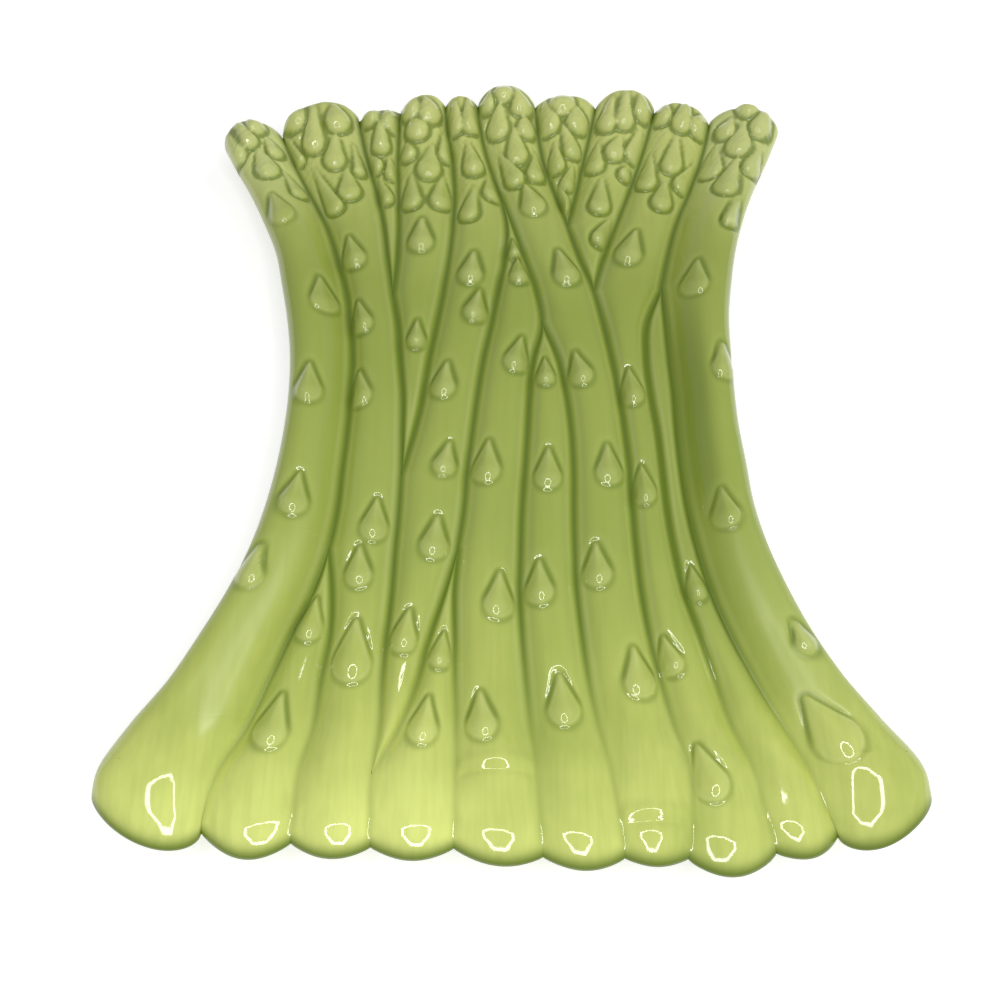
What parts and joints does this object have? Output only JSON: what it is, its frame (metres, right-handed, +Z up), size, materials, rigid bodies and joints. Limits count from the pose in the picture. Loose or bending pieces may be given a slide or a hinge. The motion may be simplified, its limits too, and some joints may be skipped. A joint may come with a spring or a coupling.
{
  "type": "asparagus plate",
  "caption": "Shallow glazed earthenware serving dish moulded as a bunch of crossing asparagus spears, with raised outer spears as its rim and a foot ring.",
  "frame": {"origin": "middle of the dish's footprint, on the plane that its foot ring stands on", "axes": "+Z up, +Y from the butt ends of the spears towards their tips, +X across to the right"},
  "size_m": [0.2631, 0.3032, 0.0258],
  "materials": {
    "green_glaze": "gloss",
    "bare_foot": "matte"
  },
  "bodies": {
    "root": {"spear_01_outer_left": "green_glaze", "spear_02_left_butt": "green_glaze", "spear_03_left": "green_glaze", "spear_04_left_tip": "green_glaze", "spear_05_inner_left_tip": "green_glaze", "spear_06_slanting": "green_glaze", "spear_07_centre_left_butt": "green_glaze", "spear_08_centre": "green_glaze", "spear_09_centre_right_butt": "green_glaze", "spear_10_crossing": "green_glaze", "spear_11_right_tip": "green_glaze", "spear_12_inner_right_tip": "green_glaze", "spear_13_right": "green_glaze", "spear_14_right_butt": "green_glaze", "spear_15_outer_right": "green_glaze", "foot_ring": "bare_foot"}
  },
  "joints": []
}
